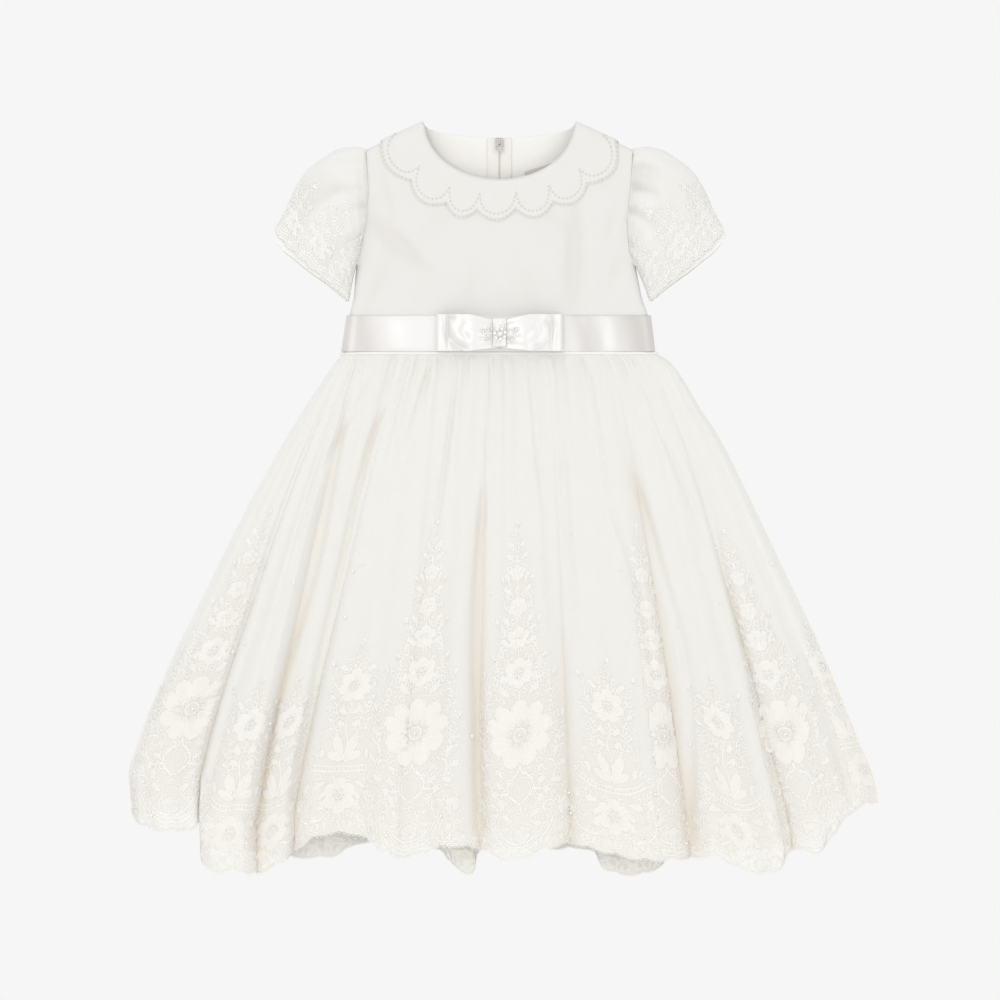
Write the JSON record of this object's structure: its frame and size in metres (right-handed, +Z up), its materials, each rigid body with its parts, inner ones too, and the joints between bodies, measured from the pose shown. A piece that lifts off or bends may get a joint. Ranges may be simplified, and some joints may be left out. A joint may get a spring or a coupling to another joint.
{
  "type": "organza dress",
  "caption": "Toddler's flat-laid occasion dress: crepe bodice, scalloped collar, puff sleeves, satin ribbon belt with a bow, and a gathered organza skirt edged in lace.",
  "frame": {"origin": "middle of the box's base, on the surface that the dress lies on", "axes": "+X to the right as seen from above, +Y from the hem to the neck, +Z up from the surface"},
  "size_m": [0.6608, 0.6628, 0.033],
  "materials": {
    "crepe": "matt ivory crepe, fine weave",
    "organza": "sheer ivory organza with raised embroidered lace",
    "lining": "matt ivory lining",
    "satin": "white satin ribbon with a soft sheen",
    "zip_tape": "woven cream tape",
    "silver_metal": "bright silver-coloured metal",
    "label": "blank satin label"
  },
  "bodies": {
    "dress": {"bodice_front": "crepe", "bodice_back_left": "crepe", "bodice_back_right": "crepe", "collar": "crepe", "sleeve_left": "organza", "sleeve_right": "organza", "skirt_front": "organza", "skirt_back": "organza", "skirt_lining": "lining", "ribbon_belt": "satin", "bow_left": "satin", "bow_right": "satin", "bow_knot": "satin", "zip_tape_left": "zip_tape", "zip_tape_right": "zip_tape", "zip_slider": "silver_metal", "neck_label": "label"},
    "zip_pull": {"zip_pull": "silver_metal"}
  },
  "joints": [
    {"name": "zip_pull_hinge", "type": "hinge", "parent": "dress", "child": "zip_pull", "pos_m": [-0.00355, 0.31261, 0.0076], "axis": [-1, 0, 0], "range_deg": [0, 150]}
  ]
}
